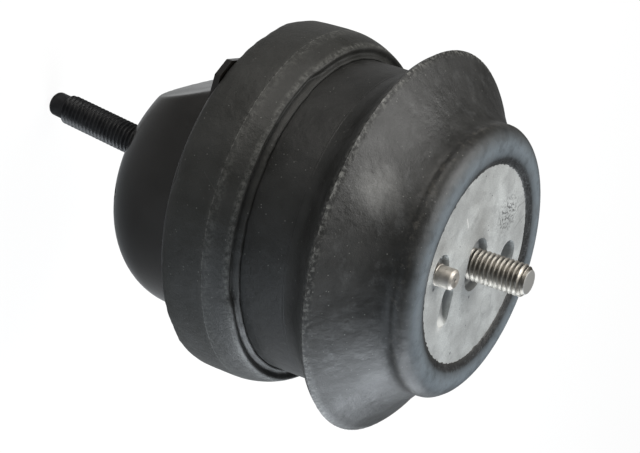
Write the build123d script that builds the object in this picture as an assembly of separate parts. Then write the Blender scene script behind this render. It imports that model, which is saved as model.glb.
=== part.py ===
import math
import os
from build123d import *

os.makedirs("parts", exist_ok=True)

# A fluid-filled engine mount: an aluminium core on a cone of rubber, over a black steel cup.
# The origin is where the upper stud's axis meets the core's flat top face, +Z runs up that
# stud, and +X is the side that the lower stud leans to. All sizes are in millimetres.

# Studs, M10 x 1.5, drawn plain at the thread's outside diameter
stud_dia = 9.85
stud_chamfer = 1.0
stud_head_dia = 18.0
stud_head_height = 4.0
stud_neck_dia = 9.0
upper_stud_reach = 17.4
upper_stud_depth = 24.0
upper_grip_dia = 12.4
upper_grip_height = 12.0
lower_stud_collar_dia = 12.0
lower_stud_reach = 45.2
pilot_dia = 7.9
pilot_length = 4.7
pilot_neck = 1.7
pilot_round = 1.4

# Aluminium core, a die casting
face_dia = 62.0
land_height = 9.0
core_height = 40.0
nose_dia = 34.0
nose_round = 3.0
counterbore_dia = 16.8
counterbore_depth = 1.6
pin_dia = 6.2
pin_grip_dia = 6.6
pin_grip_proud = 0.3
pin_reach = 5.4
pin_depth = 9.0
pin_chamfer = 0.6
pin_x = -2.6
pin_y = 23.6
pin_recess_dia = 8.8
pin_recess_depth = 2.4
pin_recess_shift_x = 1.5
pin_recess_shift_y = -0.9
cored_hole_dia = 9.3
cored_hole_depth = 5.0
cored_hole_x = 2.7
cored_hole_y = -20.6
pocket_width = 6.8
pocket_length = 13.4
pocket_depth = 3.2
pocket_x = -12.6
pocket_y = 13.4
pocket_turn = 4.0
ejector_dia = 6.2
ejector_depth = 0.3
ejector_places = ((15.8, -11.5), (-12.7, -14.9))

# Main rubber spring, from the collar round the core to the straight body
collar_dia = 83.4
collar_proud = 1.3
collar_round = 5.0
collar_lead = 0.8
collar_height = 5.6
neck_dia = 83.0
skirt_drop = 20.4
skirt_hollow = 1.5
rim_dia = 116.8
rim_thickness = 3.2
rim_round = 1.3
body_dia = 97.0
body_top = 33.5
skin = 1.0
cavity_roof_dia = 30.0
core_skin = 3.0

# Outer steel shell, bonded into the rubber and rolled over the cup's flange
sheet = 2.0
sleeve_height = 22.0
shoulder_drop = 58.0
shell_dia = 105.6
lip_width = 4.6
shell_round = 2.4
ear_turns = (48.0, 180.0, 294.0)
ear_reach = 2.4
ear_root = 3.5
ear_top_width = 6.4
ear_base_width = 20.0

# Rubber sleeve stretched over the rolled edge
sleeve_dia = 110.6
sleeve_rear_gap = 1.6
sleeve_rear_round = 3.0
sleeve_crown_lag = 2.0
sleeve_crown_radius = 22.0
sleeve_front_lead = 10.0
window_cutback = 2.2
window_start = 32.0
window_end = 123.0
window_corner = 1.6
groove_width = 1.5
groove_depth = 2.6
lip_thickness = 1.8
lip_height = 1.7
groove_inset = 4.0

# Parts clamped inside the shell, from the top down
bead_height = 1.4
plate_rim = 3.0
plate_side_gap = 1.0
plate_height = 6.0
channel_inner_dia = 62.0
channel_outer_dia = 80.0
channel_depth = 4.4
channel_port = 9.0
channel_wall_angle = 30.0
cage_dia = 46.0
cage_depth = 3.6
decoupler_gap = 0.6
decoupler_side_gap = 0.8
decoupler_rim = 3.0
decoupler_dish = 0.5
cage_hole_dia = 7.0
cage_hole_ring = 26.0
cage_hole_count = 6
diaphragm_bead = 4.0
diaphragm_bead_width = 6.0
diaphragm_wall = 1.8
diaphragm_roll_dia = 62.0
diaphragm_roll_width = 8.0
diaphragm_roll_drop = 14.0
diaphragm_roll_round = 3.5
diaphragm_slope = 4.0
diaphragm_centre_dia = 34.0
diaphragm_centre_drop = 5.0

# Deep-drawn cup, whose wall stands on a slant to its flange
cup_lean = 6.2
pivot_depth = 26.6
cup_dia = 82.0
cup_bottom = 13.8
dome_height = 24.4
dome_width = 31.0
flange_round = 3.0
vent_dia = 5.2
vent_turn = 113.0
vent_slope = 43.0
flat_turn = 14.0
flat_lean = 26.0
flat_out = 26.5

# Heights that follow from the stack of clamped parts
stack_top = -(shoulder_drop + sheet)
plate_top = stack_top - bead_height
plate_split = plate_top - plate_rim
bead_top = plate_split - plate_rim
flange_top = bead_top - diaphragm_bead
flange_bottom = flange_top - sheet
shell_bottom = flange_bottom - sheet
pivot_drop = pivot_depth - flange_bottom
crown_height = -(shoulder_drop + sleeve_crown_lag)

# Radii shared by neighbours
face_r = face_dia / 2
body_r = body_dia / 2
shell_r = shell_dia / 2
pack_r = shell_r - sheet
sleeve_in_r = body_r - skin - sheet
plate_r = sleeve_in_r - skin - plate_side_gap

# The slanting axis of the cup and of the lower stud, upward from the pivot
cup_plane = Plane(
    origin=(0, 0, -pivot_drop),
    x_dir=(math.cos(math.radians(cup_lean)), 0, math.sin(math.radians(cup_lean))),
    z_dir=(-math.sin(math.radians(cup_lean)), 0, math.cos(math.radians(cup_lean))),
)


def turned(points):
    """Solid of revolution about Z of a closed outline of (radius, height) points."""
    with BuildPart() as part:
        with BuildSketch(Plane.XZ):
            with BuildLine():
                Polyline(*points, close=True)
            make_face()
        revolve(axis=Axis.Z)
    return part.part


def at(x, y, z):
    return Location((x, y, z))


def make_upper_stud():
    """Stud cast into the core: thread, thin neck, rough grip and a head that can't pull out."""
    thread_r = stud_dia / 2
    neck_r = stud_neck_dia / 2
    grip_r = upper_grip_dia / 2
    head_r = stud_head_dia / 2
    grip_bottom = stud_head_height - upper_stud_depth
    grip_top = grip_bottom + upper_grip_height
    return turned([
        (0, upper_stud_reach),
        (thread_r - stud_chamfer, upper_stud_reach),
        (thread_r, upper_stud_reach - stud_chamfer),
        (thread_r, -counterbore_depth),
        (neck_r, -counterbore_depth),
        (neck_r, grip_top),
        (grip_r, grip_top),
        (grip_r, grip_bottom),
        (head_r, grip_bottom),
        (head_r, -upper_stud_depth),
        (0, -upper_stud_depth),
    ])


def make_locating_pin():
    """Short grooved dowel beside the stud, pressed into the core."""
    pin_r = pin_dia / 2
    grip_r = pin_grip_dia / 2
    pin = turned([
        (0, pin_reach),
        (pin_r - pin_chamfer, pin_reach),
        (pin_r, pin_reach - pin_chamfer),
        (pin_r, pin_grip_proud),
        (grip_r, pin_grip_proud),
        (grip_r, -pin_depth),
        (0, -pin_depth),
    ])
    return at(pin_x, pin_y, 0) * pin


def make_core(stud, pin):
    """Die-cast core: flat face, straight land, cone and rounded nose."""
    nose_r = nose_dia / 2
    core = turned([
        (0, 0),
        (face_r, 0),
        (face_r, -land_height),
        (nose_r, -core_height),
        (0, -core_height),
    ])
    nose = core.edges().filter_by(GeomType.CIRCLE).sort_by(Axis.Z)[0]
    core = fillet(nose, nose_round)
    blind = (Align.CENTER, Align.CENTER, Align.MAX)
    core -= Cylinder(counterbore_dia / 2, counterbore_depth, align=blind)
    core -= at(cored_hole_x, cored_hole_y, 0) * Cylinder(
        cored_hole_dia / 2, cored_hole_depth, align=blind
    )
    core -= at(pin_x + pin_recess_shift_x, pin_y + pin_recess_shift_y, 0) * Cylinder(
        pin_recess_dia / 2, pin_recess_depth, align=blind
    )
    for x, y in ejector_places:
        core -= at(x, y, 0) * Cylinder(ejector_dia / 2, ejector_depth, align=blind)
    slot = SlotOverall(pocket_length, pocket_width)
    pocket = Location((pocket_x, pocket_y, 0), (0, 0, pocket_turn)) * extrude(
        slot, -pocket_depth
    )
    core -= pocket
    return core - stud - pin


def make_outer_shell():
    """Steel shell: sleeve, shoulder, wall and rolled lip, with ears on the lip."""
    lip_r = shell_r - lip_width
    sleeve_top = -(shoulder_drop - sleeve_height)
    with BuildPart() as shell:
        with BuildSketch(Plane.XZ):
            with BuildLine():
                Polyline(
                    (sleeve_in_r, sleeve_top),
                    (sleeve_in_r + sheet, sleeve_top),
                    (sleeve_in_r + sheet, -shoulder_drop),
                    (shell_r, -shoulder_drop),
                    (shell_r, shell_bottom),
                    (lip_r, shell_bottom),
                    (lip_r, flange_bottom),
                    (pack_r, flange_bottom),
                    (pack_r, stack_top),
                    (sleeve_in_r, stack_top),
                    close=True,
                )
            face = make_face()
            corners = face.vertices().filter_by(lambda v: abs(v.X - shell_r) < 0.01)
            fillet(corners, shell_round)
        revolve(axis=Axis.Z)
        with BuildSketch(Plane.XY.offset(shell_bottom)):
            for turn in ear_turns:
                with Locations(Rotation(0, 0, turn)):
                    with BuildLine(mode=Mode.PRIVATE) as ear:
                        base = shell_r - ear_root
                        top = shell_r + ear_reach
                        Polyline(
                            (base, -ear_base_width / 2),
                            (top, -ear_top_width / 2),
                            (top, ear_top_width / 2),
                            (base, ear_base_width / 2),
                            close=True,
                        )
                    add(make_face(ear.line.edges(), mode=Mode.PRIVATE))
        extrude(amount=sheet)
    return shell.part


def spring_outline():
    """Half section of the rubber spring, round the core's land and down to the bead."""
    collar_r = collar_dia / 2
    neck_r = neck_dia / 2
    rim_r = rim_dia / 2
    nose_r = nose_dia / 2
    rim_front = (rim_r - rim_round, -skirt_drop)
    rim_rear = (rim_r - rim_round, -skirt_drop - rim_thickness)
    cavity_z = -(core_height + core_skin)
    with BuildSketch(Plane.XZ) as section:
        with BuildLine():
            Polyline(
                (0, cavity_z),
                (0, -core_height),
                (nose_r, -core_height),
                (face_r, -land_height),
                (face_r, 0),
                (face_r + collar_lead, collar_proud),
                (collar_r - collar_round, collar_proud),
            )
            TangentArc(
                (collar_r - collar_round, collar_proud),
                (collar_r, collar_proud - collar_round),
                tangent=(1, 0),
            )
            Line((collar_r, collar_proud - collar_round), (neck_r, -collar_height))
            SagittaArc((neck_r, -collar_height), rim_front, -skirt_hollow)
            Polyline(rim_front, (rim_r, -skirt_drop - rim_thickness / 2), rim_rear)
            TangentArc((body_r, -body_top), rim_rear, tangent=(0, 1))
            Polyline(
                (body_r, -body_top),
                (body_r, -shoulder_drop),
                (sleeve_in_r, -shoulder_drop),
                (sleeve_in_r, stack_top),
                (pack_r, stack_top),
                (pack_r, plate_top),
                (sleeve_in_r - skin, plate_top),
                (sleeve_in_r - skin, -shoulder_drop),
                (cavity_roof_dia / 2, cavity_z),
                (0, cavity_z),
            )
        make_face()
    return section.sketch


def make_main_spring(core, shell):
    """One rubber moulding bonded to the core and to the shell."""
    spring = revolve(spring_outline(), Axis.Z)
    return spring - core - shell


def make_rubber_sleeve(shell):
    """Rubber sleeve over the rolled edge, with a window cut back at its front."""
    rear = shell_bottom + sleeve_rear_gap
    sleeve_r = sleeve_dia / 2
    front = crown_height + sleeve_front_lead
    cutback = front - window_cutback
    fall = math.sqrt(sleeve_crown_radius**2 - sleeve_front_lead**2)
    crown_r = sleeve_r - sleeve_crown_radius + fall
    wall_r = shell_r - sheet / 2
    wall_top = -shoulder_drop - sheet / 2
    with BuildPart() as sleeve:
        with BuildSketch(Plane.XZ):
            with BuildLine():
                Polyline((crown_r, front), (body_r, front), (body_r, wall_top), (wall_r, wall_top))
                Polyline((wall_r, wall_top), (wall_r, rear), (sleeve_r, rear))
                Line((sleeve_r, rear), (sleeve_r, crown_height))
                RadiusArc((sleeve_r, crown_height), (crown_r, front), -sleeve_crown_radius)
            make_face()
        revolve(axis=Axis.Z)
        rear_edge = sleeve.edges().filter_by(GeomType.CIRCLE).sort_by(Axis.Z)[0:2]
        fillet(rear_edge.sort_by(SortBy.RADIUS)[-1], sleeve_rear_round)
    window = sector_ring(
        body_r, sleeve_r + 1, cutback, front + window_corner, window_start, window_end
    )
    ends = window.edges().filter_by(GeomType.LINE).filter_by(Axis.Z, reverse=True)
    window = fillet(ends.group_by(Axis.Z)[0], window_corner)
    lip_r = body_r + lip_thickness
    lip = sector_ring(
        body_r, lip_r, cutback, cutback + lip_height, window_start, window_end
    )
    groove = sector_ring(
        lip_r, lip_r + groove_width, cutback - groove_depth, cutback,
        window_start + groove_inset, window_end - groove_inset,
    )
    return sleeve.part - window - groove + lip - shell


def sector_ring(inner_r, outer_r, bottom, top, start, end):
    """Part of a ring between two turns about Z, given in degrees."""
    with BuildPart() as ring:
        with BuildSketch(Plane.XZ.rotated((0, 0, start))):
            with Locations(((inner_r + outer_r) / 2, (bottom + top) / 2)):
                Rectangle(outer_r - inner_r, top - bottom)
        revolve(axis=Axis.Z, revolution_arc=end - start)
    return ring.part


def make_upper_channel_plate():
    """Die-cast plate with the long flow channel and the cage for the decoupler."""
    body_top_z = plate_split + plate_height
    plate = turned([
        (0, body_top_z),
        (plate_r, body_top_z),
        (plate_r, plate_top),
        (pack_r, plate_top),
        (pack_r, plate_split),
        (0, plate_split),
    ])
    plate -= sector_ring(
        channel_inner_dia / 2, channel_outer_dia / 2,
        plate_split, plate_split + channel_depth,
        channel_wall_angle / 2, 360 - channel_wall_angle / 2,
    )
    port_angle = math.degrees(channel_port / (channel_inner_dia / 2))
    plate -= sector_ring(
        channel_inner_dia / 2, channel_outer_dia / 2,
        plate_split, body_top_z,
        channel_wall_angle / 2, channel_wall_angle / 2 + port_angle,
    )
    plate -= at(0, 0, plate_split) * Cylinder(
        cage_dia / 2, cage_depth, align=(Align.CENTER, Align.CENTER, Align.MIN)
    )
    return plate - cage_holes()


def make_lower_channel_plate():
    """Flat plate that closes the channel from below, with its outlet port."""
    plate = at(0, 0, bead_top) * Cylinder(
        pack_r, plate_rim, align=(Align.CENTER, Align.CENTER, Align.MIN)
    )
    port_angle = math.degrees(channel_port / (channel_inner_dia / 2))
    plate -= sector_ring(
        channel_inner_dia / 2, channel_outer_dia / 2,
        bead_top, plate_split,
        360 - channel_wall_angle / 2 - port_angle, 360 - channel_wall_angle / 2,
    )
    return plate - cage_holes()


def cage_holes():
    """Drillings through both plates, above and below the decoupler."""
    hole_height = 2 * (plate_height + plate_rim)
    with BuildPart() as holes:
        with Locations((0, 0, plate_split)):
            Cylinder(cage_hole_dia / 2, hole_height)
            with PolarLocations(cage_hole_ring / 2, cage_hole_count):
                Cylinder(cage_hole_dia / 2, hole_height)
    return holes.part


def make_decoupler():
    """Loose rubber disc in the cage, thicker at its rim."""
    disc_r = cage_dia / 2 - decoupler_side_gap
    top = plate_split + cage_depth - decoupler_gap
    land_r = disc_r - decoupler_rim
    return turned([
        (0, plate_split + decoupler_dish),
        (land_r, plate_split + decoupler_dish),
        (land_r, plate_split),
        (disc_r, plate_split),
        (disc_r, top),
        (land_r, top),
        (land_r, top - decoupler_dish),
        (0, top - decoupler_dish),
    ])


def make_diaphragm():
    """Thin rolling rubber diaphragm with a bead clamped over the cup's flange."""
    bead_r = pack_r - diaphragm_bead_width
    middle = (bead_top + flange_top) / 2
    roll_r = diaphragm_roll_dia / 2
    low = middle - diaphragm_roll_drop
    centre = middle - diaphragm_centre_drop
    with BuildPart() as diaphragm:
        with BuildSketch(Plane.XZ):
            with Locations((pack_r - diaphragm_bead_width / 2, middle)):
                Rectangle(diaphragm_bead_width, diaphragm_bead)
            with BuildLine() as path:
                FilletPolyline(
                    (bead_r + diaphragm_wall, middle),
                    (roll_r + diaphragm_slope, middle),
                    (roll_r, low),
                    (roll_r - diaphragm_roll_width, low),
                    (diaphragm_centre_dia / 2, centre),
                    (0, centre),
                    radius=diaphragm_roll_round,
                )
            trace(path.line, line_width=diaphragm_wall)
        revolve(axis=Axis.Z)
    return diaphragm.part


def bowl(radius, bottom, width, height):
    """Solid bowl about the slanting axis: flat centre, elliptic corner and straight wall."""
    top = pivot_drop + flange_top + cup_dia * math.tan(math.radians(cup_lean))
    with BuildPart() as solid:
        with BuildSketch(Plane.XZ):
            with BuildLine():
                Line((0, bottom), (radius - width, bottom))
                EllipticalCenterArc(
                    (radius - width, bottom + height), width, height,
                    start_angle=270, arc_size=90,
                )
                Polyline((radius, bottom + height), (radius, top), (0, top), (0, bottom))
            make_face()
        revolve(axis=Axis.Z)
    return cup_plane.location * solid.part


def make_lower_cup(stud):
    """Deep-drawn cup: flange, slanting wall, domed bottom, a pressed flat, vent and stud hole."""
    cup_r = cup_dia / 2
    outside = bowl(cup_r, -cup_bottom, dome_width, dome_height)
    inside = bowl(cup_r - sheet, -cup_bottom + sheet, dome_width - sheet, dome_height - sheet)
    inside -= beyond_flat(flat_out - sheet)
    above = at(0, 0, flange_bottom) * Cylinder(
        2 * cup_dia, 2 * cup_dia, align=(Align.CENTER, Align.CENTER, Align.MIN)
    )
    outside -= above
    flange = at(0, 0, flange_bottom) * Cylinder(
        pack_r, sheet, align=(Align.CENTER, Align.CENTER, Align.MIN)
    )
    cup = outside + flange
    seat = cup.edges().filter_by_position(Axis.Z, flange_bottom, flange_bottom)
    seat = seat.filter_by(lambda e: e.length < 2 * math.pi * (pack_r - 1))
    cup = fillet(seat, flange_round)
    cup -= beyond_flat(flat_out) - above
    cup -= inside
    cup -= vent()
    return cup - stud


def beyond_flat(out):
    """Space outside the pressed flat, whose plane stands this far from the pivot."""
    space = Box(cup_dia, 2 * cup_dia, 2 * cup_dia, align=(Align.MIN, Align.CENTER, Align.CENTER))
    turn = Location((0, 0, 0), (0, 0, flat_turn))
    lean = Location((0, 0, 0), (0, flat_lean, 0))
    return cup_plane.location * turn * lean * at(out, 0, 0) * space


def vent():
    """Drilling square to the dome's curved corner."""
    slope = math.radians(vent_slope)
    out = cup_dia / 2 - dome_width + dome_width * math.cos(slope)
    rise = -cup_bottom + dome_height * (1 - math.sin(slope))
    lean = math.degrees(math.atan2(math.sin(slope) / dome_height, math.cos(slope) / dome_width))
    drill = Cylinder(vent_dia / 2, 4 * sheet)
    place = Location((out, 0, rise)) * Location((0, 0, 0), (0, 90 + lean, 0))
    return cup_plane.location * Location((0, 0, 0), (0, 0, vent_turn)) * place * drill


def make_lower_stud():
    """Stud through the cup's bottom, with a head inside and a rounded pilot nose."""
    thread_r = stud_dia / 2
    pilot_r = pilot_dia / 2
    floor = -cup_bottom + sheet
    tip = -cup_bottom - lower_stud_reach
    nose = tip + pilot_length
    stud = turned([
        (0, floor + stud_head_height),
        (stud_head_dia / 2, floor + stud_head_height),
        (stud_head_dia / 2, floor),
        (lower_stud_collar_dia / 2, floor),
        (lower_stud_collar_dia / 2, -cup_bottom),
        (thread_r, -cup_bottom),
        (thread_r, nose + pilot_neck),
        (pilot_r, nose),
        (pilot_r, tip),
        (0, tip),
    ])
    tip_edge = stud.edges().filter_by(GeomType.CIRCLE).sort_by(Axis.Z)[0]
    return cup_plane.location * fillet(tip_edge, pilot_round)


def export(part, name):
    part.label = name
    export_step(part, f"parts/{name}.step")


upper_stud = make_upper_stud()
locating_pin = make_locating_pin()
core = make_core(upper_stud, locating_pin)
outer_shell = make_outer_shell()
main_spring = make_main_spring(core, outer_shell)
rubber_sleeve = make_rubber_sleeve(outer_shell)
lower_stud = make_lower_stud()
lower_cup = make_lower_cup(lower_stud)

export(upper_stud, "upper_stud")
export(locating_pin, "locating_pin")
export(core, "core")
export(main_spring, "main_spring")
export(outer_shell, "outer_shell")
export(rubber_sleeve, "rubber_sleeve")
export(make_upper_channel_plate(), "upper_channel_plate")
export(make_lower_channel_plate(), "lower_channel_plate")
export(make_decoupler(), "decoupler")
export(make_diaphragm(), "diaphragm")
export(lower_cup, "lower_cup")
export(lower_stud, "lower_stud")
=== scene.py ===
import math

import bmesh
import bpy
from mathutils import Matrix, Vector, noise


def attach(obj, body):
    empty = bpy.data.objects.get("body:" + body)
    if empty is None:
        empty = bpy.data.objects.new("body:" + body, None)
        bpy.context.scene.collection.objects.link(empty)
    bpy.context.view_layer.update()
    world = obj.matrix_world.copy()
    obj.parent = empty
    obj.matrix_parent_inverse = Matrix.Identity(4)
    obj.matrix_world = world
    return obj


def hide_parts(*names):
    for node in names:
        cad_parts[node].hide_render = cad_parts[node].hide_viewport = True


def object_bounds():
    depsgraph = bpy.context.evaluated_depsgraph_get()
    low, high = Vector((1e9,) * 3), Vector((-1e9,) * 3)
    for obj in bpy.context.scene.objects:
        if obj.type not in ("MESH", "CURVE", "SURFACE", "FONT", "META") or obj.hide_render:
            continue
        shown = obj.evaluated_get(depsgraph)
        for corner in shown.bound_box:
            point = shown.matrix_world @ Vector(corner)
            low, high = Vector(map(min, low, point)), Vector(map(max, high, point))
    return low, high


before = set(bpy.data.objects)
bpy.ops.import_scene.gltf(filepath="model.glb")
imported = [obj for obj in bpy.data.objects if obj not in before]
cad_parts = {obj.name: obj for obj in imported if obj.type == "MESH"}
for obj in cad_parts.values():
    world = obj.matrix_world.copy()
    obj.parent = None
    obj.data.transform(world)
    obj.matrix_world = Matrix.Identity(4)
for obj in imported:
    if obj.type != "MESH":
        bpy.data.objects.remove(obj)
cad_box = [list(corner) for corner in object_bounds()]
mm = 0.001

# The camera looks down on the mount from its alloy end, rolled on its side, so that the studs
# run from the left of the picture to the right. The lens is long, a little over 110 mm.
to_the_right = Vector((0.25139245, -0.4813454, 0.83970736))
upward = Vector((0.957989333, 0.0, -0.286803831))
backward = Vector((0.1380517, 0.87653101, 0.46112376))
stand_point = Vector((79.35, 530.68, 226.53)) * mm

camera = bpy.data.objects.new("camera", bpy.data.cameras.new("camera"))
bpy.context.scene.collection.objects.link(camera)
camera.data.lens = 112.5
camera.data.sensor_width = 36
camera.data.clip_start = 0.01
camera.data.clip_end = 20
camera.matrix_world = Matrix((
    (to_the_right.x, upward.x, backward.x, stand_point.x),
    (to_the_right.y, upward.y, backward.y, stand_point.y),
    (to_the_right.z, upward.z, backward.z, stand_point.z),
    (0, 0, 0, 1),
))
bpy.context.scene.camera = camera
bpy.context.scene.view_settings.view_transform = "Standard"


# A seamless white table below the lower stud, so wide that it fills the picture. It shows white
# to the eye and still takes a faint shadow.
def node(material, kind, inputs=None, **settings):
    """A node in this material, with its inputs set to values or joined to other nodes."""
    made = material.node_tree.nodes.new("ShaderNode" + kind)
    for name, value in settings.items():
        setattr(made, name, value)
    for name, value in (inputs or {}).items():
        if isinstance(value, bpy.types.NodeSocket):
            material.node_tree.links.new(value, made.inputs[name])
        else:
            made.inputs[name].default_value = value
    return made


def blank_material(name):
    """A new material with no nodes yet."""
    made = bpy.data.materials.new(name)
    made.use_nodes = True
    made.node_tree.nodes.clear()
    return made


table_white = blank_material("table_white")
matt = node(table_white, "BsdfDiffuse", {"Color": (0.3, 0.3, 0.3, 1)})
glow = node(table_white, "Emission", {"Color": (1, 1, 1, 1), "Strength": 1.24})
seen = node(table_white, "LightPath")
shown = node(table_white, "MixShader", {0: 0.25, 1: glow.outputs[0], 2: matt.outputs[0]})
either = node(table_white, "MixShader", {
    0: seen.outputs["Is Camera Ray"], 1: matt.outputs[0], 2: shown.outputs[0],
})
node(table_white, "OutputMaterial", {"Surface": either.outputs[0]})

reach = 4  # metres from the middle to each edge
table_mesh = bpy.data.meshes.new("table")
table_mesh.from_pydata(
    [(-reach, -reach, 0), (reach, -reach, 0), (reach, reach, 0), (-reach, reach, 0)],
    [], [(0, 1, 2, 3)],
)
table = bpy.data.objects.new("table", table_mesh)
bpy.context.scene.collection.objects.link(table)
table.location = (0, 0, cad_box[0][2] - 1 * mm)
table.data.materials.append(table_white)

# Soft studio light: a dim pale room, one broad lamp beyond the alloy face, two cool ones on the
# side that is lowest in the picture, and a weak warm one on the opposite side.
room = bpy.data.worlds.new("room")
bpy.context.scene.world = room
room.use_nodes = True
room.node_tree.nodes["Background"].inputs["Color"].default_value = (0.95, 0.97, 1.0, 1)
room.node_tree.nodes["Background"].inputs["Strength"].default_value = 0.10
middle = Vector((0, 0, -50))


def lamp(name, place, size, power, colour):
    """A square soft box at this place in millimetres, turned to the mount's middle."""
    made = bpy.data.objects.new(name, bpy.data.lights.new(name, "AREA"))
    bpy.context.scene.collection.objects.link(made)
    made.data.shape = "SQUARE"
    made.data.size = size * mm
    made.data.energy = power
    made.data.color = colour
    made.location = place * mm
    made.rotation_euler = (middle * mm - made.location).to_track_quat("-Z", "Y").to_euler()


lamp("face_lamp", middle + 600 * to_the_right + 150 * upward + 250 * backward,
     500, 5.6, (1, 0.99, 0.97))
lamp("low_lamp", middle - 600 * upward + 150 * to_the_right - 120 * backward,
     500, 5.6, (0.88, 0.94, 1))
lamp("side_lamp", middle - 280 * upward - 210 * to_the_right + 130 * backward,
     380, 0.9, (0.82, 0.91, 1))
lamp("high_lamp", middle + 560 * upward + 400 * backward, 400, 3, (1, 0.97, 0.92))


# Upper stud: bright zinc-plated steel with a rolled M10 coarse thread. Its neck, shank and head
# are cast into the core, so it can't pull out.
def softened(corners):
    """The outline's (radius, height) points, with an arc at each corner that has a third number."""
    steps = 5
    line = []
    for index, corner in enumerate(corners):
        here = Vector(corner[:2])
        size = corner[2] if len(corner) > 2 else 0
        if not size:
            line.append(here)
            continue
        before = (Vector(corners[index - 1][:2]) - here).normalized()
        after = (Vector(corners[index + 1][:2]) - here).normalized()
        half = before.angle(after) / 2
        start = here + before * (size / math.tan(half))
        end = here + after * (size / math.tan(half))
        centre = here + (before + after).normalized() * (size / math.sin(half))
        for step in range(steps + 1):
            way = start.lerp(end, step / steps) - centre
            line.append(centre + way.normalized() * size)
    return line


def ring_point(radius, turn, height):
    """The point at this radius, turn and height about Z."""
    return (radius * math.cos(turn) * mm, radius * math.sin(turn) * mm, height * mm)


def turned(outline, segments, wobble=None):
    """Mesh of an outline of (radius, height) points in millimetres, turned about Z.
    wobble(turn, radius, height) may move each point."""
    made = bmesh.new()
    rings = []
    for radius, height in outline:
        if radius < 1e-6:
            rings.append([made.verts.new((0, 0, height * mm))])
            continue
        ring = []
        for step in range(segments):
            turn = 2 * math.pi * step / segments
            r, z = wobble(turn, radius, height) if wobble else (radius, height)
            ring.append(made.verts.new(ring_point(r, turn, z)))
        rings.append(ring)
    for lower, upper in zip(rings, rings[1:]):
        for step in range(segments):
            after = (step + 1) % segments
            if len(lower) == 1:
                made.faces.new((lower[0], upper[after], upper[step]))
            elif len(upper) == 1:
                made.faces.new((lower[step], lower[after], upper[0]))
            else:
                made.faces.new((lower[step], lower[after], upper[after], upper[step]))
    return made


def placed(made, name, crease=40):
    """The finished mesh as an object, smooth except over edges sharper than the crease angle."""
    bmesh.ops.recalc_face_normals(made, faces=made.faces)
    mesh = bpy.data.meshes.new(name)
    made.to_mesh(mesh)
    made.free()
    mesh.shade_smooth()
    mesh.set_sharp_from_angle(angle=math.radians(crease))
    thing = bpy.data.objects.new(name, mesh)
    bpy.context.scene.collection.objects.link(thing)
    return thing


stud_segments = 72


def threaded(bottom, top):
    """Mesh of an M10 coarse thread about Z between two heights, with both ends open."""
    radius, pitch, depth, chamfer = 4.925, 1.5, 0.86, 0.8
    profile = (  # share of the pitch, share of the depth
        (0.0, 1.0), (0.14, 1.0), (0.24, 0.72), (0.44, 0.06), (0.52, 0.0), (0.62, 0.0),
        (0.70, 0.06), (0.90, 0.72),
    )
    rows = len(profile)
    turns = math.ceil((top - bottom) / pitch) + 1
    made = bmesh.new()
    grid = []
    for step in range(stud_segments):
        turn = 2 * math.pi * step / stud_segments
        column = []
        for index in range(turns * rows + 1):
            share, high = profile[index % rows]
            z = bottom - pitch + pitch * (index // rows + share + step / stud_segments)
            r = radius - depth * (1 - high)
            z = min(max(z, bottom), top)
            r = min(r, radius - chamfer + top - z, radius - 0.5 * chamfer + z - bottom)
            if z in (bottom, top):
                r = radius - depth
            column.append(made.verts.new(ring_point(r, turn, z)))
        grid.append(column)
    for step in range(stud_segments):
        after = (step + 1) % stud_segments
        shift = rows if after == 0 else 0
        for index in range(turns * rows - shift):
            made.faces.new((
                grid[step][index], grid[after][index + shift],
                grid[after][index + 1 + shift], grid[step][index + 1],
            ))
    bmesh.ops.remove_doubles(made, verts=made.verts, dist=0.002 * mm)
    return made


def joined(first, second):
    """The second mesh added to the first."""
    carried = bpy.data.meshes.new("carried")
    second.to_mesh(carried)
    second.free()
    first.from_mesh(carried)
    bpy.data.meshes.remove(carried)
    return first


stud = threaded(-1.6, 16.6)
stud = joined(stud, turned(
    softened([(0, 17.4), (3.6, 17.4, 0.25), (4.1, 16.6)]), stud_segments))
stud = joined(stud, turned(softened([
    (4.1, -1.6), (4.5, -1.7), (4.5, -8.0), (6.2, -8.0, 0.4), (6.2, -20.0), (9.0, -20.0, 0.4),
    (9.0, -24.0, 0.4), (0, -24.0),
]), stud_segments))
upper_stud = placed(stud, "upper_stud_threaded", 55)
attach(upper_stud, "root")
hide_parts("upper_stud")


def in_millimetres(material):
    """The place on the piece in millimetres."""
    spot = node(material, "TexCoord")
    return node(material, "VectorMath", {0: spot.outputs["Object"], "Scale": 1000},
                operation="SCALE").outputs[0]


def height_at(material, place):
    return node(material, "SeparateXYZ", {0: place}).outputs["Z"]


def radius_at(material, place):
    """Distance of the place from the Z axis."""
    flat = node(material, "VectorMath", {0: place, 1: (1, 1, 0)}, operation="MULTIPLY")
    return node(material, "VectorMath", {0: flat.outputs[0]}, operation="LENGTH").outputs["Value"]


def distance(material, place, spot):
    return node(material, "VectorMath", {0: place, 1: spot},
                operation="DISTANCE").outputs["Value"]


def cloud(material, place, size, detail=4, rough=0.55, stretch=(1, 1, 1)):
    """Uneven pattern between 0 and 1, with patches of about this size in millimetres."""
    spread = node(material, "Mapping", {"Vector": place, "Scale": stretch})
    return node(material, "TexNoise", {
        "Vector": spread.outputs[0], "Scale": 1 / size, "Detail": detail, "Roughness": rough,
    }).outputs["Fac"]


def between(material, value, low, high, out_low=0.0, out_high=1.0):
    """The value spread from one range to another, and held at its ends."""
    return node(material, "MapRange", {
        "Value": value, "From Min": low, "From Max": high, "To Min": out_low, "To Max": out_high,
    }, interpolation_type="SMOOTHSTEP").outputs["Result"]


def times(material, first, second):
    return node(material, "Math", {0: first, 1: second}, operation="MULTIPLY").outputs[0]


def tinted(material, amount, first, second):
    """Colour between two others, by amount."""
    return node(material, "Mix", {0: amount, 6: first, 7: second}, data_type="RGBA").outputs[2]


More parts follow.
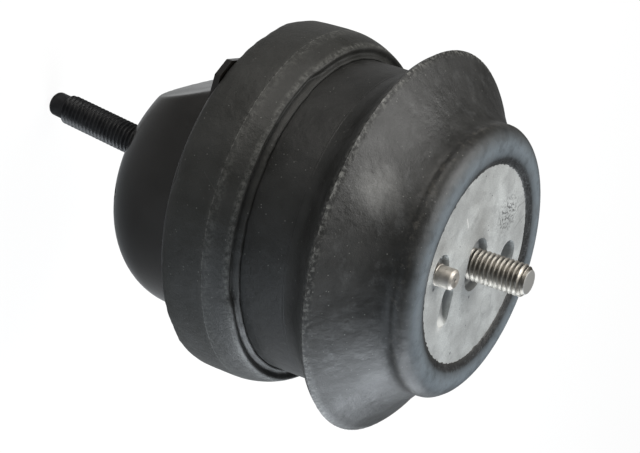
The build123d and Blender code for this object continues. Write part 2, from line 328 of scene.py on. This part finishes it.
def finished(material, colour, roughness, height, depth, metallic=0.0, **sockets):
    """Joins the colour, roughness and relief to the surface."""
    relief = node(material, "Bump", {"Height": height, "Distance": depth * mm, "Strength": 1.0})
    surface = node(material, "BsdfPrincipled", {
        "Base Color": colour, "Roughness": roughness, "Normal": relief.outputs[0],
        "Metallic": metallic,
    })
    for name, value in sockets.items():
        surface.inputs[name.replace("_", " ")].default_value = value
    node(material, "OutputMaterial", {"Surface": surface.outputs[0]})


def ring_band(material, value, middle, width):
    """1 at the middle of a band of height or radius, falling to 0 at its edges."""
    off = node(material, "Math", {0: value, 1: middle}, operation="SUBTRACT").outputs[0]
    off = node(material, "Math", {0: off}, operation="ABSOLUTE").outputs[0]
    return between(material, off, 0.0, width, 1.0, 0.0)


def smudge(material, place, middle, size):
    """A soft round mark about this place: 1 at its middle, 0 at its edge."""
    return between(material, distance(material, place, middle), 0.0, size, 1.0, 0.0)


def scratch(material, place, start, end, width):
    """A straight mark between two places: 1 on its line, 0 beyond its width."""
    along = Vector(end) - Vector(start)
    way = node(material, "VectorMath", {0: place, 1: start}, operation="SUBTRACT")
    share = node(material, "VectorMath", {0: way.outputs[0], 1: along / along.length_squared},
                 operation="DOT_PRODUCT")
    share = node(material, "Clamp", {"Value": share.outputs["Value"]}).outputs[0]
    foot = node(material, "VectorMath", {0: along, "Scale": share}, operation="SCALE")
    off = distance(material, way.outputs[0], foot.outputs[0])
    return between(material, off, 0.0, width, 1.0, 0.0)


def strongest(material, first, second):
    return node(material, "Math", {0: first, 1: second}, operation="MAXIMUM").outputs[0]


bright_steel = blank_material("bright_zinc_steel")
place = in_millimetres(bright_steel)
patch = cloud(bright_steel, place, 3.0)
fine = cloud(bright_steel, place, 0.35, 3)
colour = tinted(bright_steel, between(bright_steel, patch, 0.35, 0.7),
                (0.42, 0.40, 0.36, 1), (0.28, 0.26, 0.23, 1))
# Painted shade: the thread turns darker towards its roots, where shade falls in the grooves.
root = between(bright_steel, radius_at(bright_steel, place), 4.15, 4.7, 1.0, 0.0)
tip = between(bright_steel, height_at(bright_steel, place), 17.2, 17.3)
colour = tinted(bright_steel, times(bright_steel, root, 0.6), colour, (0.07, 0.06, 0.05, 1))
colour = tinted(bright_steel, tip, colour, (0.36, 0.355, 0.34, 1))
shine = between(bright_steel, fine, 0.3, 0.7, 0.34, 0.52)
shine = node(bright_steel, "Mix", {0: tip, 2: shine, 3: 0.62}).outputs[0]
finished(bright_steel, colour, shine, fine, 0.02, 1.0)
upper_stud.data.materials.append(bright_steel)


# Locating pin: a short bright steel dowel pressed into the core beside the stud, with a chamfered
# tip and the small centre mark of the lathe.
pin_place = (-2.6, 23.6)
pin = turned(softened([
    (0, 5.0), (0.7, 5.35, 0.3), (2.3, 5.4, 0.3), (3.1, 4.7, 0.3), (3.1, 0.3, 0.05),
    (3.3, 0.2, 0.05), (3.3, -9.0, 0.4), (0, -9.0),
]), 64)
bmesh.ops.translate(pin, verts=pin.verts, vec=(pin_place[0] * mm, pin_place[1] * mm, 0))
locating_pin = placed(pin, "locating_pin_turned", 50)
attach(locating_pin, "root")
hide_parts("locating_pin")

pin_steel = blank_material("pin_steel")
place = in_millimetres(pin_steel)
streak = cloud(pin_steel, place, 0.5, 3, 0.6, (1, 1, 6))
patch = cloud(pin_steel, place, 2.0)
colour = tinted(pin_steel, between(pin_steel, patch, 0.35, 0.7),
                (0.46, 0.43, 0.39, 1), (0.32, 0.30, 0.27, 1))
mark = smudge(pin_steel, place, (*pin_place, 5.2), 0.8)
colour = tinted(pin_steel, mark, colour, (0.05, 0.05, 0.05, 1))
finished(pin_steel, colour, between(pin_steel, streak, 0.3, 0.7, 0.46, 0.64), streak, 0.04, 1.0)
locating_pin.data.materials.append(pin_steel)


# Core: an aluminium die casting. Its flat face carries the bracket, with a short slot across the
# stud, a shallow recess round the pin, a blind cored hole, an oblong pocket and ejector marks.
def cut_from(thing, cutters):
    """Cuts the closed meshes out of the thing and drops them."""
    for cutter in cutters:
        cut = thing.modifiers.new("cut", "BOOLEAN")
        cut.object = cutter
        cut.solver = "MANIFOLD"
    edge = thing.modifiers.new("edge", "BEVEL")
    edge.width = 0.22 * mm
    edge.segments = 2
    edge.limit_method = "ANGLE"
    edge.angle_limit = math.radians(40)
    graph = bpy.context.evaluated_depsgraph_get()
    mesh = bpy.data.meshes.new_from_object(thing.evaluated_get(graph))
    thing.modifiers.clear()
    thing.data = mesh
    mesh.materials.clear()
    for cutter in cutters:
        bpy.data.objects.remove(cutter)
    mesh.shade_smooth()
    mesh.set_sharp_from_angle(angle=math.radians(35))


def punch(x, y, top_radius, bottom_radius, depth, floor_round):
    """Round cutter with a little draft, standing in the face at this place."""
    made = turned(softened([
        (0, 1), (top_radius, 1), (top_radius, 0), (bottom_radius, -depth, floor_round),
        (0, -depth),
    ]), 64)
    bmesh.ops.translate(made, verts=made.verts, vec=(x * mm, y * mm, 0))
    return placed(made, "punch")


def oblong(x, y, length, width, depth, turn, slope):
    """Slot cutter. Its floor rises to one end over the slope's length, or is even with no slope."""
    made = bmesh.new()
    half = width / 2
    straight = length / 2 - half
    draft, shallow_end = 0.9, 0.12
    half_turn = 24
    top, low = [], []
    for step in range(2 * half_turn + 1):
        angle = math.pi * (step / half_turn - 0.5)
        side = 1 if step <= half_turn else -1
        px = side * straight + half * math.cos(angle)
        py = half * math.sin(angle)
        into = depth * min(1, max(shallow_end, (px + length / 2) / slope)) if slope else depth
        top.append(made.verts.new((px * mm, py * mm, 1 * mm)))
        low.append(made.verts.new((px * draft * mm, py * draft * mm, -into * mm)))
    count = len(top)
    for step in range(count):
        after = (step + 1) % count
        made.faces.new((top[step], top[after], low[after], low[step]))
    made.faces.new(top)
    hub = made.verts.new((straight * (0.4 if slope else 0) * mm, 0, -depth * mm))
    for step in range(count):
        made.faces.new((low[step], low[(step + 1) % count], hub))
    bmesh.ops.remove_doubles(made, verts=made.verts, dist=0.001 * mm)
    bmesh.ops.rotate(made, verts=made.verts, cent=(0, 0, 0), matrix=Matrix.Rotation(turn, 3, "Z"))
    bmesh.ops.translate(made, verts=made.verts, vec=(x * mm, y * mm, 0))
    return placed(made, "slot")


casting = placed(turned(softened([
    (0, 0), (31.0, 0, 0.4), (31.0, -9.0, 1.0), (17.0, -40.0, 3.0), (0, -40.0),
]), 192), "core_casting")
cut_from(casting, [
    oblong(0, 0, 16.8, 11.6, 2.4, math.radians(6), 0),  # slot across the stud
    punch(2.7, -20.6, 4.65, 4.2, 5.0, 1.0),  # blind cored hole
    punch(-1.1, 22.7, 4.4, 4.2, 2.4, 0.4),  # recess round the pin
    oblong(-12.6, 13.4, 13.4, 6.8, 3.2, math.radians(4), 6.5),  # oblong pocket
])
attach(casting, "root")
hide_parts("core")

alloy = blank_material("cast_aluminium")
place = in_millimetres(alloy)
patch = cloud(alloy, place, 14.0, 6, 0.6)
skin_grain = cloud(alloy, place, 0.5, 4, 0.7)
colour = tinted(alloy, between(alloy, patch, 0.3, 0.7),
                (0.50, 0.51, 0.50, 1), (0.62, 0.64, 0.63, 1))
colour = tinted(alloy, between(alloy, skin_grain, 0.42, 0.62, 0.35, 0.0),
                colour, (0.30, 0.31, 0.31, 1))
streak = between(alloy, cloud(alloy, place, 0.8, 3, 0.6, (0.15, 2.4, 1)), 0.62, 0.70)
colour = tinted(alloy, times(alloy, streak, 0.35), colour, (0.70, 0.70, 0.69, 1))
# Painted shade: the face turns darker with depth in its slot, recess, hole and pocket, where shade
# falls.
painted_recess_shade = between(alloy, height_at(alloy, place), -0.3, -1.8)
colour = tinted(alloy, times(alloy, painted_recess_shade, 0.75), colour, (0.25, 0.26, 0.265, 1))
stain = between(alloy, cloud(alloy, place, 6.0, 8, 0.7), 0.50, 0.62)
colour = tinted(alloy, times(alloy, stain, 0.3), colour, (0.27, 0.28, 0.28, 1))
# A bright scratch, and a painted highlight on the shallow end of the oblong pocket, where light
# catches it.
wear_and_painted_highlight = strongest(alloy, scratch(alloy, place, (11.2, 12.2, 0), (13.6, 14.4, 0), 0.45),
                 smudge(alloy, place, (-18.2, 13.8, -1.2), 3.4))
colour = tinted(alloy, times(alloy, wear_and_painted_highlight, 0.8), colour, (0.85, 0.85, 0.83, 1))

rough_mark = (15.8, -11.5, 0)
rough_ring = ring_band(alloy, distance(alloy, place, rough_mark), 2.9, 0.7)
near = smudge(alloy, place, (15.5, -13.0, 0), 9.0)
rough_ring = times(alloy, strongest(alloy, rough_ring, times(alloy, near, 1.6)),
                   between(alloy, cloud(alloy, place, 0.9, 3, 0.6), 0.50, 0.60))
colour = tinted(alloy, times(alloy, rough_ring, 0.9), colour, (0.12, 0.12, 0.12, 1))
grey_patch = smudge(alloy, place, (23, 2.5, 0), 5.0)
colour = tinted(alloy, times(alloy, grey_patch, 0.35), colour, (0.30, 0.31, 0.31, 1))
faint_mark = (-12.7, -14.9, 0)
faint_ring = ring_band(alloy, distance(alloy, place, faint_mark), 3.0, 0.4)
colour = tinted(alloy, times(alloy, faint_ring, 0.3), colour, (0.25, 0.26, 0.26, 1))
for start, end in (
    ((13, -17, 0), (18.5, -20, 0)), ((11, -21, 0), (15, -25, 0)), ((17.5, -19, 0), (19.5, -23, 0)),
):
    line = scratch(alloy, place, start, end, 0.35)
    colour = tinted(alloy, times(alloy, line, 0.5), colour, (0.2, 0.2, 0.2, 1))
pits = node(alloy, "TexVoronoi", {"Vector": place, "Scale": 0.55}).outputs["Distance"]
spots = times(alloy, between(alloy, pits, 0.10, 0.16, 1.0, 0.0),
              between(alloy, cloud(alloy, place, 4.0, 2), 0.56, 0.62))
for spot, size in (
    ((-9.9, -1.2, 0), 0.7), ((-27, 1.2, 0), 0.7), ((-7, 24.5, 0), 0.9), ((-5.2, 20.2, 0), 0.6),
):
    spots = strongest(alloy, spots, smudge(alloy, place, spot, size))
colour = tinted(alloy, spots, colour, (0.13, 0.13, 0.14, 1))
grain_relief = node(alloy, "Math", {0: skin_grain, 1: spots}, operation="SUBTRACT").outputs[0]
finished(alloy, colour, between(alloy, patch, 0.3, 0.7, 0.42, 0.58), grain_relief, 0.04, 0.6)
casting.data.materials.append(alloy)


# Main spring: one rubber moulding bonded to the core and the steel shell. It has a rounded collar
# round the alloy, a flared skirt whose rim keeps the mould's rough parting line, and a long
# straight body.
def curve_through(points):
    """Smooth line through (radius, height) points."""
    steps = 6
    line = []
    for index in range(len(points) - 1):
        p1, p2 = Vector(points[index]), Vector(points[index + 1])
        p0 = Vector(points[index - 1]) if index else p1 * 2 - p2
        p3 = Vector(points[index + 2]) if index + 2 < len(points) else p2 * 2 - p1
        for step in range(steps):
            t = step / steps
            line.append(0.5 * (
                2 * p1 + (p2 - p0) * t + (2 * p0 - 5 * p1 + 4 * p2 - p3) * t * t
                + (3 * p1 - p0 - 3 * p2 + p3) * t ** 3
            ))
    line.append(Vector(points[-1]))
    return line


rim_height, body_seam = -22.0, -35.0
spring_line = (
    [(30.2, -0.3), (30.4, 0.12), (31.0, 0.35), (31.6, 0.6)]
    + curve_through([
        (32.4, 1.1), (34.5, 1.32), (37.0, 1.22), (39.0, 0.55), (40.4, -0.5), (41.3, -1.8),
        (41.65, -3.1), (41.5, -5.0), (42.1, -6.8), (43.8, -9.3), (46.5, -12.4), (50.1, -15.5),
        (54.1, -18.6), (56.9, -20.5),
    ])
    + [(57.6, -21.1), (58.05, -21.7), (58.4, rim_height), (58.05, -22.4)]
    + curve_through([
        (57.2, -23.7), (55.3, -25.4), (52.6, -27.6), (50.4, -30.0), (49.1, -32.2), (48.5, -34.4),
        (48.5, -36.5),
    ])
    + [(48.5, -42.0), (48.5, -48.0), (48.5, -58.0), (45.5, -58.0), (45.5, -61.4), (44.5, -61.4),
       (44.5, -58.0), (15.0, -43.0), (0.0, -43.0)]
)


def rough_mould(turn, r, z):
    """Ragged flash at the alloy's edge and on the rim's parting line, and slight waves between."""
    way = Vector((math.cos(turn), math.sin(turn), 0))
    if r < 31.5 and z > -1:
        ragged = noise.noise(way * 26) + 0.6 * noise.noise(way * 70)
        return r - 0.55 * max(0, ragged) * (31.6 - r), z + 0.12 * noise.noise(way * 40)
    if abs(z - rim_height) < 0.2:
        return r + 0.10 * noise.noise(way * 60), z + 0.12 * noise.noise(way * 45)
    if z > -57 and r > 40:
        return r + 0.08 * noise.noise(way * 6 + Vector((0, 0, z * 0.15))), z
    return r, z


main_spring = placed(turned(spring_line, 384, rough_mould), "main_spring_moulding", 60)
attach(main_spring, "root")
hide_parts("main_spring")


def rubber(name, dark, light, rough_low, rough_high):
    """Moulded rubber: cloudy colour, dust specks and a fine grain. Gives what a piece adds to."""
    material = blank_material(name)
    place = in_millimetres(material)
    patch = cloud(material, place, 14.0, 5, 0.6)
    lumps = times(material, cloud(material, place, 3.5, 3), 4.0)
    grain = node(material, "Math", {0: cloud(material, place, 0.45, 4, 0.65), 1: lumps},
                 operation="ADD").outputs[0]
    speck = node(material, "TexVoronoi", {"Vector": place, "Scale": 0.6}).outputs["Distance"]
    dust = times(material, between(material, speck, 0.06, 0.14, 1.0, 0.0),
                 between(material, cloud(material, place, 6.0, 3), 0.42, 0.60))
    colour = tinted(material, between(material, patch, 0.3, 0.7), dark, light)
    colour = tinted(material, times(material, dust, 0.75), colour, (0.16, 0.16, 0.15, 1))
    roughness = between(material, patch, 0.3, 0.7, rough_low, rough_high)
    return material, place, colour, roughness, grain


paint, place, colour, roughness, grain = rubber(
    "spring_rubber", (0.011, 0.011, 0.010, 1), (0.024, 0.024, 0.023, 1), 0.40, 0.54)
height = height_at(paint, place)
radius = radius_at(paint, place)
mottle = cloud(paint, place, 5.0, 6, 0.7)
# Pale bloom on the top of the collar, with a painted cool tint standing in for the light on that
# side.
bloom_and_painted_cool_light = times(paint, ring_band(paint, radius, 35.8, 5.6), between(paint, height, -3.5, -0.5))
bloom_and_painted_cool_light = times(paint, bloom_and_painted_cool_light, between(paint, mottle, 0.25, 0.6, 0.45, 1.0))
colour = tinted(paint, bloom_and_painted_cool_light, colour, (0.125, 0.146, 0.162, 1))
flash = times(paint, ring_band(paint, radius, 31.7, 1.7), between(paint, height, -2.0, -0.5))
flash = times(paint, flash, between(paint, cloud(paint, place, 0.8, 4, 0.7), 0.34, 0.50))
colour = tinted(paint, flash, colour, (0.007, 0.007, 0.007, 1))
film = times(paint, between(paint, mottle, 0.50, 0.70), between(paint, height, -21.0, -17.0))
colour = tinted(paint, times(paint, film, 0.5), colour, (0.055, 0.056, 0.056, 1))
# Painted highlight: a broad soft light patch on the skirt where a lamp's reflection falls.
painted_skirt_highlight = times(paint, smudge(paint, place, (17.6, 45.8, -14.2), 11.0),
             between(paint, mottle, 0.3, 0.6, 0.5, 1.0))
colour = tinted(paint, times(paint, painted_skirt_highlight, 0.9), colour, (0.13, 0.13, 0.126, 1))
collar_rub = times(paint, ring_band(paint, height, -3.2, 3.0),
                   between(paint, cloud(paint, place, 2.2, 5, 0.75), 0.48, 0.66))
colour = tinted(paint, times(paint, collar_rub, 0.5), colour, (0.085, 0.080, 0.070, 1))
rim_rub = times(paint, ring_band(paint, height, rim_height, 2.0),
                between(paint, cloud(paint, place, 1.2, 4, 0.7), 0.45, 0.65))
colour = tinted(paint, times(paint, rim_rub, 0.75), colour, (0.16, 0.16, 0.15, 1))
seam = strongest(paint, ring_band(paint, height, body_seam, 0.25), flash)
relief = node(paint, "Math", {0: grain, 1: seam}, operation="ADD").outputs[0]
finished(paint, colour, roughness, relief, 0.06, Specular_IOR_Level=0.35)
main_spring.data.materials.append(paint)


# Outer shell: pressed steel, bonded inside the rubber and rolled over the clamped parts. Only its
# lip and the ears of the lip show, behind the sleeve. It has the same black dip coat as the cup.
black_steel = blank_material("black_dip_coat")
place = in_millimetres(black_steel)
patch = cloud(black_steel, place, 12.0, 4)
peel = cloud(black_steel, place, 1.4, 2)
colour = tinted(black_steel, between(black_steel, patch, 0.3, 0.7),
                (0.006, 0.005, 0.004, 1), (0.011, 0.010, 0.009, 1))
finished(black_steel, colour, between(black_steel, patch, 0.3, 0.7, 0.12, 0.22), peel, 0.02,
         Specular_IOR_Level=0.45)
shell_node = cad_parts["outer_shell"]
shell_node.data.materials.clear()
shell_node.data.materials.append(black_steel)


# Parts sealed inside: two die-cast channel plates, the loose rubber decoupler between them and the
# rolling diaphragm below. Nothing of them shows.
inner_rubber, place, colour, roughness, grain = rubber(
    "inner_rubber", (0.018, 0.018, 0.018, 1), (0.026, 0.026, 0.026, 1), 0.45, 0.55)
finished(inner_rubber, colour, roughness, grain, 0.03)
for name, material in (
    ("upper_channel_plate", alloy), ("lower_channel_plate", alloy),
    ("decoupler", inner_rubber), ("diaphragm", inner_rubber),
):
    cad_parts[name].data.materials.clear()
    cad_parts[name].data.materials.append(material)


# Rubber sleeve: a softer moulding stretched over the rolled steel edge. Its rear ends in a thin
# wavy double lip, and over part of its turn its front is cut back behind a second thin lip.
def in_window(turn):
    """How far this turn lies in the cut-back part: 1 inside, 0 outside."""
    first, last, ease = 32, 123, 6
    degrees = math.degrees(turn) % 360
    rise = min(1, max(0, (degrees - first) / ease))
    fall = min(1, max(0, (last - degrees) / ease))
    share = min(rise, fall)
    return share * share * (3 - 2 * share)


sleeve_line = (
    [(48.45, -53.0), (48.5, -49.9), (48.75, -49.55), (49.2, -49.55), (49.5, -49.9), (49.7, -50.35),
     (50.1, -50.65), (50.6, -50.65), (51.1, -50.3), (51.6, -50.0), (52.1, -50.05), (52.5, -50.4)]
    + curve_through([
        (52.9, -51.1), (53.6, -52.6), (54.3, -54.4), (54.9, -56.5), (55.2, -58.2), (55.3, -59.9),
        (55.35, -63.0), (55.3, -68.0),
    ])
    + [(55.15, -70.8), (54.7, -72.4), (53.9, -73.3), (53.2, -73.5), (52.9, -73.2), (52.6, -73.4),
       (52.3, -73.9), (51.9, -73.7), (51.85, -72.0), (51.85, -59.0), (48.5, -59.0),
       (48.45, -53.0)]
)


def cut_back(r, z):
    """How far a point of the front edge steps back in the window."""
    edge_step, groove_step = 1.0, 1.5
    if z < -58 or r < 49.6:
        return 0
    if z < -50.8:
        return edge_step * (z + 58) / 7.2
    return groove_step if r < 50.8 else edge_step


def stretched(turn, r, z):
    """The sleeve's front edge steps back in the window, and its lips wave a little."""
    way = Vector((math.cos(turn), math.sin(turn), 0))
    z -= cut_back(r, z) * in_window(turn)
    if z < -72:
        z += 0.45 * noise.noise(way * 5) + 0.25 * noise.noise(way * 20)
        r += 0.20 * noise.noise(way * 7 + Vector((3, 1, 0)))
    elif r > 51:
        r += 0.12 * noise.noise(way * 5 + Vector((0, 0, z * 0.1)))
        z += 0.10 * noise.noise(way * 9) * (z > -53)
    elif r > 48.6:
        z += 0.25 * noise.noise(way * 12)
    return r, z


rubber_sleeve = placed(turned(sleeve_line, 384, stretched), "rubber_sleeve_moulding", 50)
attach(rubber_sleeve, "root")
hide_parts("rubber_sleeve")

paint, place, colour, roughness, grain = rubber(
    "sleeve_rubber", (0.015, 0.015, 0.013, 1), (0.028, 0.028, 0.026, 1), 0.44, 0.58)
height = height_at(paint, place)
radius = radius_at(paint, place)
seam_height = -58.4
band_rub = times(paint, ring_band(paint, height, -57.4, 2.6), 0.35)
seam_rub = times(paint, ring_band(paint, height, seam_height, 0.45), 0.8)
# The light line on the front ridge is partly scuffing and partly a painted highlight, where light
# catches the rounded edge.
ridge_scuff_and_painted_highlight = times(paint, ring_band(paint, radius, 52.7, 0.8), between(paint, height, -56, -53))
scuffs_and_painted_ridge_highlight = strongest(paint, strongest(paint, band_rub, seam_rub), times(paint, ridge_scuff_and_painted_highlight, 0.7))
scuffs_and_painted_ridge_highlight = times(paint, scuffs_and_painted_ridge_highlight, between(paint, cloud(paint, place, 1.3, 5, 0.75), 0.40, 0.64))
scuffs_and_painted_ridge_highlight = times(paint, scuffs_and_painted_ridge_highlight, between(paint, height, -72.0, -60.0, 0.3, 1.0))
line = scratch(paint, place, (8.4, 54.4, -63.7), (4.6, 54.8, -58.8), 0.35)
scuffs_and_painted_ridge_highlight = strongest(paint, scuffs_and_painted_ridge_highlight, times(paint, line, 0.6))
colour = tinted(paint, times(paint, scuffs_and_painted_ridge_highlight, 0.8), colour, (0.14, 0.14, 0.13, 1))
cuts = strongest(paint, scratch(paint, place, (-39, 38.8, -59.4), (-41.5, 36.3, -60.2), 0.5),
                 scratch(paint, place, (-43.5, 33.6, -58.1), (-46.0, 30.2, -59.6), 0.5))
colour = tinted(paint, cuts, colour, (0.004, 0.004, 0.004, 1))
relief = node(paint, "Math", {0: grain, 1: ring_band(paint, height, seam_height, 0.3)},
              operation="ADD").outputs[0]
finished(paint, colour, roughness, relief, 0.08, Specular_IOR_Level=0.35)
rubber_sleeve.data.materials.append(paint)


# Lower cup: deep-drawn steel with a glossy black dip coat. Its wall and domed bottom lean to the
# flange, a flat is pressed into the shoulder, and a small round vent is pierced through the dome.
lean = math.radians(6.2)
cup_frame = Matrix((
    (math.cos(lean), 0, -math.sin(lean), 0),
    (0, 1, 0, 0),
    (math.sin(lean), 0, math.cos(lean), -100 * mm),
    (0, 0, 0, 1),
))
cup_radius, cup_bottom, cup_top, sheet = 41, -13.8, 34, 2
shoulder_width, shoulder_rise = 31, 24.4
wall_end = -72


def dome(inset):
    """Half section of the cup from the middle of its bottom to the top of its wall."""
    radius, bottom = cup_radius - inset, cup_bottom + inset
    width, rise = shoulder_width - inset, shoulder_rise - inset
    steps, wall_steps = 28, 12
    line = [(0, bottom), (radius - width, bottom)]
    for step in range(1, steps + 1):
        angle = math.pi / 2 * step / steps
        line.append((
            radius - width + width * math.sin(angle), bottom + rise * (1 - math.cos(angle)),
        ))
    for step in range(1, wall_steps + 1):
        line.append((radius, bottom + rise + (cup_top - bottom - rise) * step / wall_steps))
    return line


def pressed(made, out):
    """Presses the flat into the wall: what stands beyond its plane is pushed back to it."""
    turn, tip = math.radians(14), math.radians(26)
    soft = 0.4 * mm
    facing = Vector((
        math.cos(tip) * math.cos(turn), math.cos(tip) * math.sin(turn), -math.sin(tip),
    ))
    for vert in made.verts:
        beyond = vert.co.dot(facing) - out * mm
        if beyond > -soft:
            push = (beyond + soft) ** 2 / (4 * soft) if beyond < soft else beyond
            way = Vector((vert.co.x, vert.co.y, 0)).normalized()
            vert.co -= way * push / max(0.2, way.dot(facing))
    return made


flat_out = 26.5
cup = pressed(turned(dome(0), 256), flat_out)
cup = joined(cup, pressed(turned(dome(sheet), 256), flat_out - sheet))
bmesh.ops.transform(cup, matrix=cup_frame, verts=cup.verts)
bmesh.ops.bisect_plane(
    cup, geom=cup.verts[:] + cup.edges[:] + cup.faces[:],
    plane_co=(0, 0, wall_end * mm), plane_no=(0, 0, 1), clear_outer=True,
)
bmesh.ops.bridge_loops(cup, edges=[edge for edge in cup.edges if edge.is_boundary])

vent_turn, vent_slope = math.radians(108), math.radians(43)
vent_radius, drill_end = 2.6, 6
vent = turned([
    (0, -drill_end), (vent_radius, -drill_end), (vent_radius, drill_end), (0, drill_end),
], 48)
vent_axis = Vector((
    math.cos(vent_slope) / shoulder_width, 0, -math.sin(vent_slope) / shoulder_rise,
)).normalized()
vent_middle = Vector((
    cup_radius - shoulder_width * (1 - math.cos(vent_slope)), 0,
    cup_bottom + shoulder_rise * (1 - math.sin(vent_slope)),
)) * mm
bmesh.ops.transform(vent, verts=vent.verts, matrix=(
    cup_frame @ Matrix.Rotation(vent_turn, 4, "Z") @ Matrix.Translation(vent_middle)
    @ vent_axis.to_track_quat("Z", "Y").to_matrix().to_4x4()
))
lower_cup = placed(cup, "lower_cup_drawn", 50)
cut_from(lower_cup, [placed(vent, "vent")])
flange = placed(turned(softened([
    (38.5, -71.4), (50.8, -71.4, 0.4), (50.8, -73.4, 0.4), (44.2, -73.4, 1.8), (42.2, -76.0),
    (38.5, -76.0), (38.5, -71.4),
]), 192), "lower_cup_flange", 50)
flange.data.materials.append(black_steel)
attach(flange, "root")
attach(lower_cup, "root")
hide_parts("lower_cup")
lower_cup.data.materials.append(black_steel)


# Lower stud: black phosphated steel, an M10 coarse thread that ends in a plain rounded nose. Its
# head sits inside the cup, and it follows the cup's lean.
low = threaded(-52.9, -13.8)
low = joined(low, turned(softened([
    (4.07, -52.9), (3.95, -54.3, 0.3), (3.95, -59.0, 1.6), (0, -59.0),
]), stud_segments))
low = joined(low, turned(softened([
    (4.1, -13.8), (6.0, -13.8), (6.0, -11.8), (9.0, -11.8, 0.3), (9.0, -7.8, 0.5), (0, -7.8),
]), stud_segments))
bmesh.ops.transform(low, matrix=cup_frame, verts=low.verts)
lower_stud = placed(low, "lower_stud_threaded", 55)
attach(lower_stud, "root")
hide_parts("lower_stud")

black_stud = blank_material("black_phosphate")
place = in_millimetres(black_stud)
patch = cloud(black_stud, place, 2.5)
fine = cloud(black_stud, place, 0.3, 3)
colour = tinted(black_stud, between(black_stud, patch, 0.35, 0.7),
                (0.010, 0.010, 0.011, 1), (0.022, 0.022, 0.023, 1))
finished(black_stud, colour, between(black_stud, fine, 0.3, 0.7, 0.30, 0.44), fine, 0.02,
         Specular_IOR_Level=0.25)
lower_stud.data.materials.append(black_stud)
